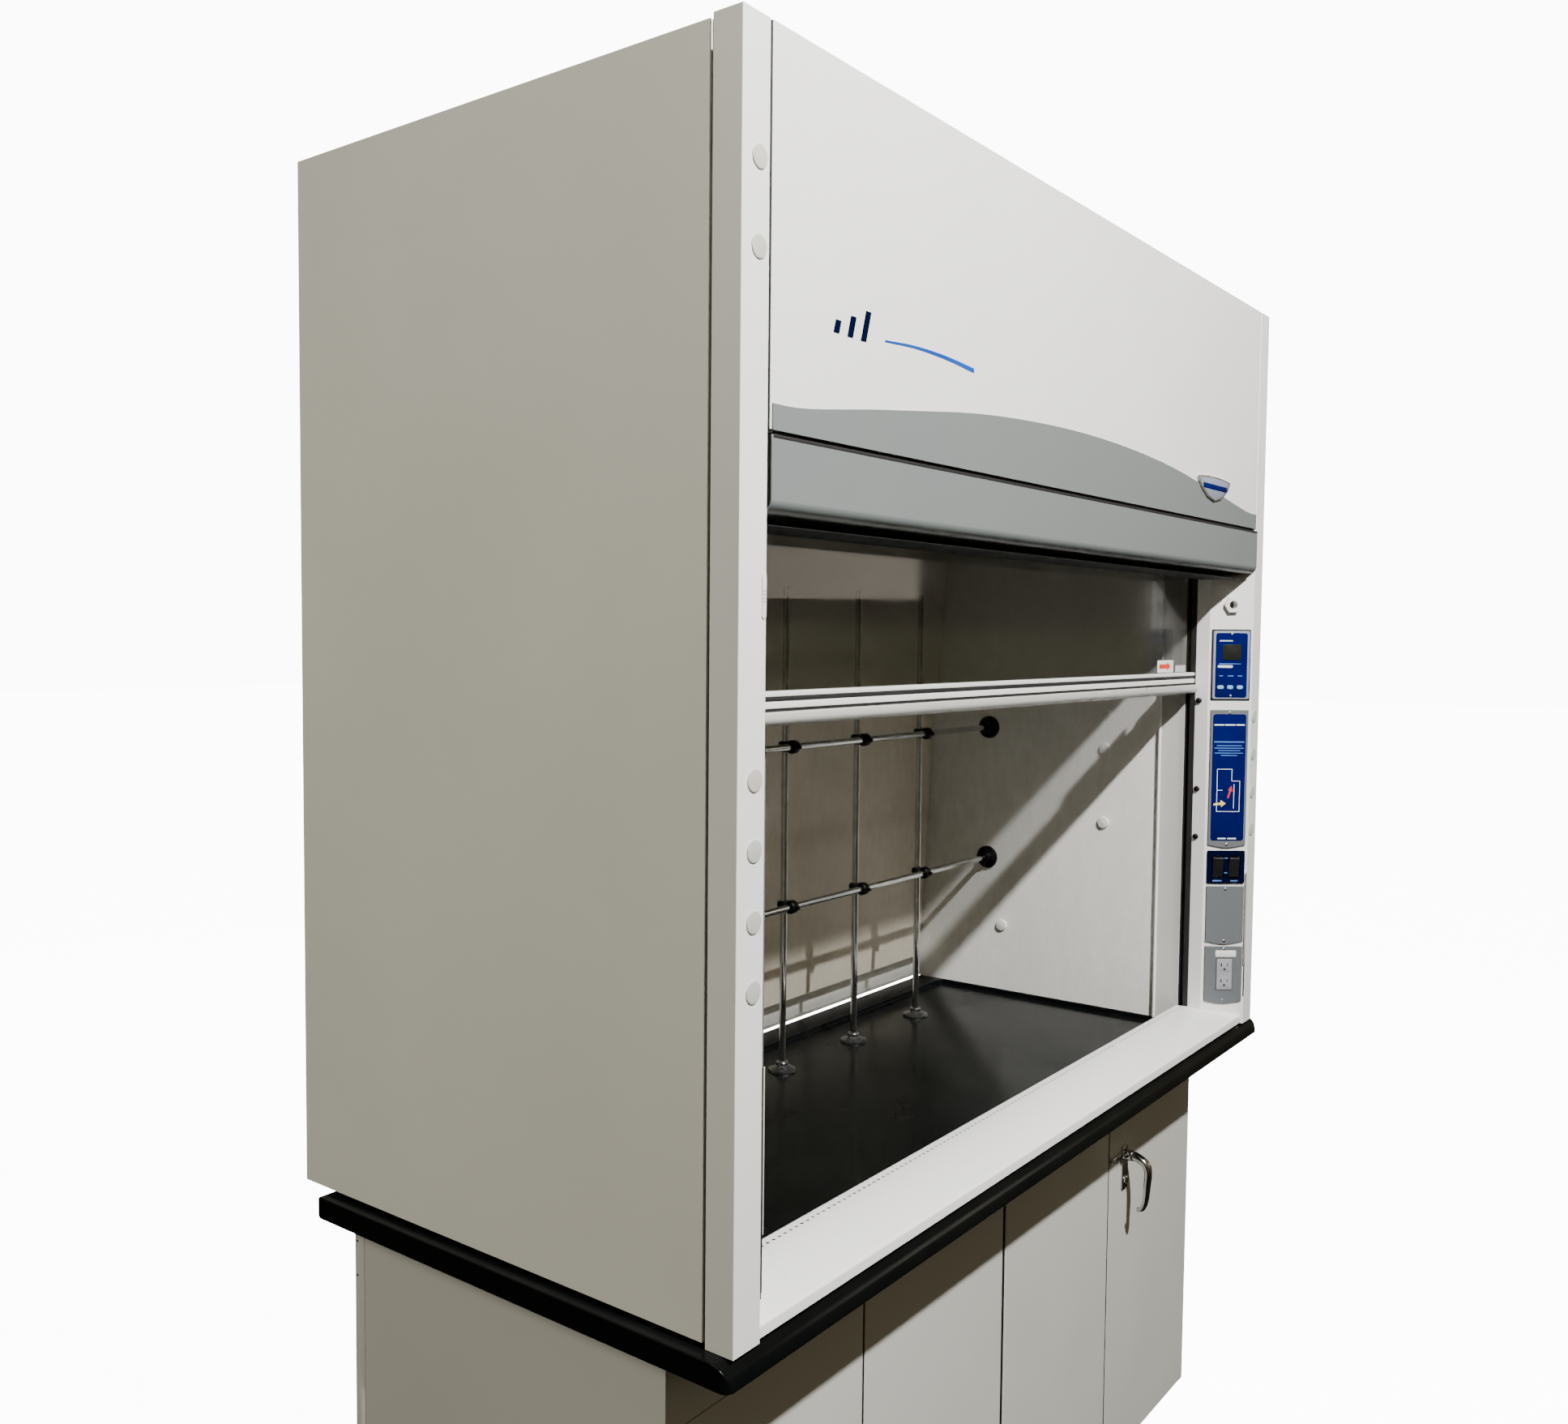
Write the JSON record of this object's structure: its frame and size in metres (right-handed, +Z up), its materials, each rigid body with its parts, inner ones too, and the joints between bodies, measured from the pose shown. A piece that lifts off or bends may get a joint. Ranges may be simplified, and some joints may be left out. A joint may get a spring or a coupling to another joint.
{
  "type": "fume hood",
  "caption": "Bench fume hood with a counterweighted vertical sash, angled control fascias, rod lattice and baffled exhaust, on two base cabinets with hinged doors.",
  "frame": {"origin": "on the floor under the middle of the bounding box", "axes": "+X to the right as seen from the front, +Y from the front to the back, +Z up"},
  "size_m": [1.868, 0.813, 2.4325],
  "materials": {
    "painted_white": "white powder coat, satin",
    "painted_greige": "warm grey powder coat, satin",
    "white_plastic": "moulded white plastic",
    "header_grey": "cool grey powder coat, satin",
    "cabinet_paint": "pale grey powder coat, satin",
    "liner": "off-white glass fibre composite panel, matt",
    "epoxy": "black epoxy resin, cast, semi-gloss",
    "track_black": "black extruded guide, matt",
    "glass": "clear safety glass with a faint warm green tint",
    "chrome": "polished chrome on steel",
    "zinc": "zinc-plated steel",
    "iron": "rough cast iron, unpainted",
    "sash_white": "white powder coat on an aluminium extrusion",
    "plate_grey": "mid grey powder coat, fine texture",
    "monitor_blue": "deep blue membrane face in a pale bezel",
    "key_blue": "light blue moulded key",
    "switch_blue": "navy enamel plate",
    "switch_black": "black moulded rocker"
  },
  "bodies": {
    "root": {"cabinet_left": "cabinet_paint", "cabinet_right": "cabinet_paint", "lattice_rod_1": "chrome", "lattice_rod_2": "chrome", "lattice_rod_3": "chrome", "lattice_rod_4": "chrome", "lattice_rod_5": "chrome", "lattice_bar_upper": "chrome", "lattice_bar_lower": "chrome", "work_surface": "epoxy", "corner_post_left": "painted_white", "corner_post_right": "painted_white", "front_panel": "painted_white", "airfoil": "painted_white", "light_fixture": "painted_white", "side_panel_left": "painted_greige", "side_panel_right": "painted_greige", "back_panel": "painted_greige", "header_arch": "header_grey", "header_visor": "header_grey", "sash_track_left": "track_black", "sash_track_right": "track_black", "side_liner_left": "liner", "side_liner_right": "liner", "rear_liner": "liner", "ceiling_liner": "liner", "lower_baffle": "liner", "upper_baffle": "liner", "exhaust_collar": "zinc", "front_cable_left": "zinc", "front_cable_right": "zinc", "rear_cable_left": "zinc", "rear_cable_right": "zinc", "hex_bushing": "white_plastic", "upper_glass": "glass", "info_plaque": "plate_grey", "blank_plate": "plate_grey", "receptacle_plate": "plate_grey", "service_plate_upper": "plate_grey", "service_plate_lower": "plate_grey", "monitor_module": "monitor_blue", "switch_plate": "switch_blue"},
    "sash": {"sash_glass": "glass", "sash_rail": "sash_white"},
    "counterweight_left": {"counterweight_left": "iron"},
    "counterweight_right": {"counterweight_right": "iron"},
    "front_shaft": {"front_pulley_shaft": "zinc"},
    "rear_pulley_left": {"rear_pulley_left": "zinc"},
    "rear_pulley_right": {"rear_pulley_right": "zinc"},
    "door_left_outer": {"door_left_outer": "cabinet_paint"},
    "door_left_inner": {"door_left_inner": "cabinet_paint"},
    "door_right_inner": {"door_right_inner": "cabinet_paint"},
    "door_right_outer": {"door_right_outer": "cabinet_paint", "latch_escutcheon": "chrome"},
    "latch_lever": {"latch_lever": "chrome"},
    "key_mute": {"monitor_key_mute": "key_blue"},
    "key_up": {"monitor_key_up": "key_blue"},
    "key_down": {"monitor_key_down": "key_blue"},
    "light_switch": {"light_switch": "switch_black"},
    "blower_switch": {"blower_switch": "switch_black"}
  },
  "joints": [
    {"name": "sash_slide", "type": "slide", "parent": "root", "child": "sash", "axis": [0, 0, 1], "range_m": [-0.672, 0], "deforming": ["front_cable_left", "front_cable_right"]},
    {"name": "counterweight_left_slide", "type": "slide", "parent": "root", "child": "counterweight_left", "axis": [0, 0, 1], "range_m": [0, 0.672], "deforming": ["rear_cable_left"]},
    {"name": "counterweight_right_slide", "type": "slide", "parent": "root", "child": "counterweight_right", "axis": [0, 0, 1], "range_m": [0, 0.672], "deforming": ["rear_cable_right"]},
    {"name": "front_shaft_turn", "type": "hinge", "parent": "root", "child": "front_shaft", "pos_m": [0, -0.2635, 2.3885], "axis": [1, 0, 0], "range_deg": [-5, 1755]},
    {"name": "rear_pulley_left_turn", "type": "hinge", "parent": "root", "child": "rear_pulley_left", "pos_m": [-0.818, 0.2945, 2.3885], "axis": [1, 0, 0], "range_deg": [-5, 1755]},
    {"name": "rear_pulley_right_turn", "type": "hinge", "parent": "root", "child": "rear_pulley_right", "pos_m": [0.818, 0.2945, 2.3885], "axis": [1, 0, 0], "range_deg": [-5, 1755]},
    {"name": "door_left_outer_hinge", "type": "hinge", "parent": "root", "child": "door_left_outer", "pos_m": [-0.8845, -0.2715, 0.4475], "axis": [0, 0, -1], "range_deg": [0, 110]},
    {"name": "door_left_inner_hinge", "type": "hinge", "parent": "root", "child": "door_left_inner", "pos_m": [-0.0095, -0.2715, 0.4475], "axis": [0, 0, 1], "range_deg": [0, 90]},
    {"name": "door_right_inner_hinge", "type": "hinge", "parent": "root", "child": "door_right_inner", "pos_m": [0.0095, -0.2715, 0.4475], "axis": [0, 0, -1], "range_deg": [0, 90]},
    {"name": "door_right_outer_hinge", "type": "hinge", "parent": "root", "child": "door_right_outer", "pos_m": [0.8845, -0.2715, 0.4475], "axis": [0, 0, 1], "range_deg": [0, 110]},
    {"name": "latch_turn", "type": "hinge", "parent": "door_right_outer", "child": "latch_lever", "pos_m": [0.5215, -0.2795, 0.7215], "axis": [0, -1, 0], "range_deg": [0, 90]},
    {"name": "key_mute_press", "type": "slide", "parent": "root", "child": "key_mute", "axis": [0.7777, 0.6286, 0], "range_m": [0, 0.0006], "stiffness_N_per_m": 1500, "springref_m": -0.0003},
    {"name": "key_up_press", "type": "slide", "parent": "root", "child": "key_up", "axis": [0.7777, 0.6286, 0], "range_m": [0, 0.0006], "stiffness_N_per_m": 1500, "springref_m": -0.0003},
    {"name": "key_down_press", "type": "slide", "parent": "root", "child": "key_down", "axis": [0.7777, 0.6286, 0], "range_m": [0, 0.0006], "stiffness_N_per_m": 1500, "springref_m": -0.0003},
    {"name": "light_switch_rock", "type": "hinge", "parent": "root", "child": "light_switch", "pos_m": [0.82519, -0.34865, 1.2705], "axis": [-0.6286, 0.7777, 0], "range_deg": [0, 14]},
    {"name": "blower_switch_rock", "type": "hinge", "parent": "root", "child": "blower_switch", "pos_m": [0.84656, -0.37509, 1.2705], "axis": [-0.6286, 0.7777, 0], "range_deg": [0, 14]}
  ],
  "couplings": [
    {"joint": "counterweight_left_slide", "follows": "sash_slide", "ratio": -1},
    {"joint": "counterweight_right_slide", "follows": "sash_slide", "ratio": -1},
    {"joint": "front_shaft_turn", "follows": "sash_slide", "rad_per_m": -45.455},
    {"joint": "rear_pulley_left_turn", "follows": "sash_slide", "rad_per_m": -45.455},
    {"joint": "rear_pulley_right_turn", "follows": "sash_slide", "rad_per_m": -45.455}
  ]
}
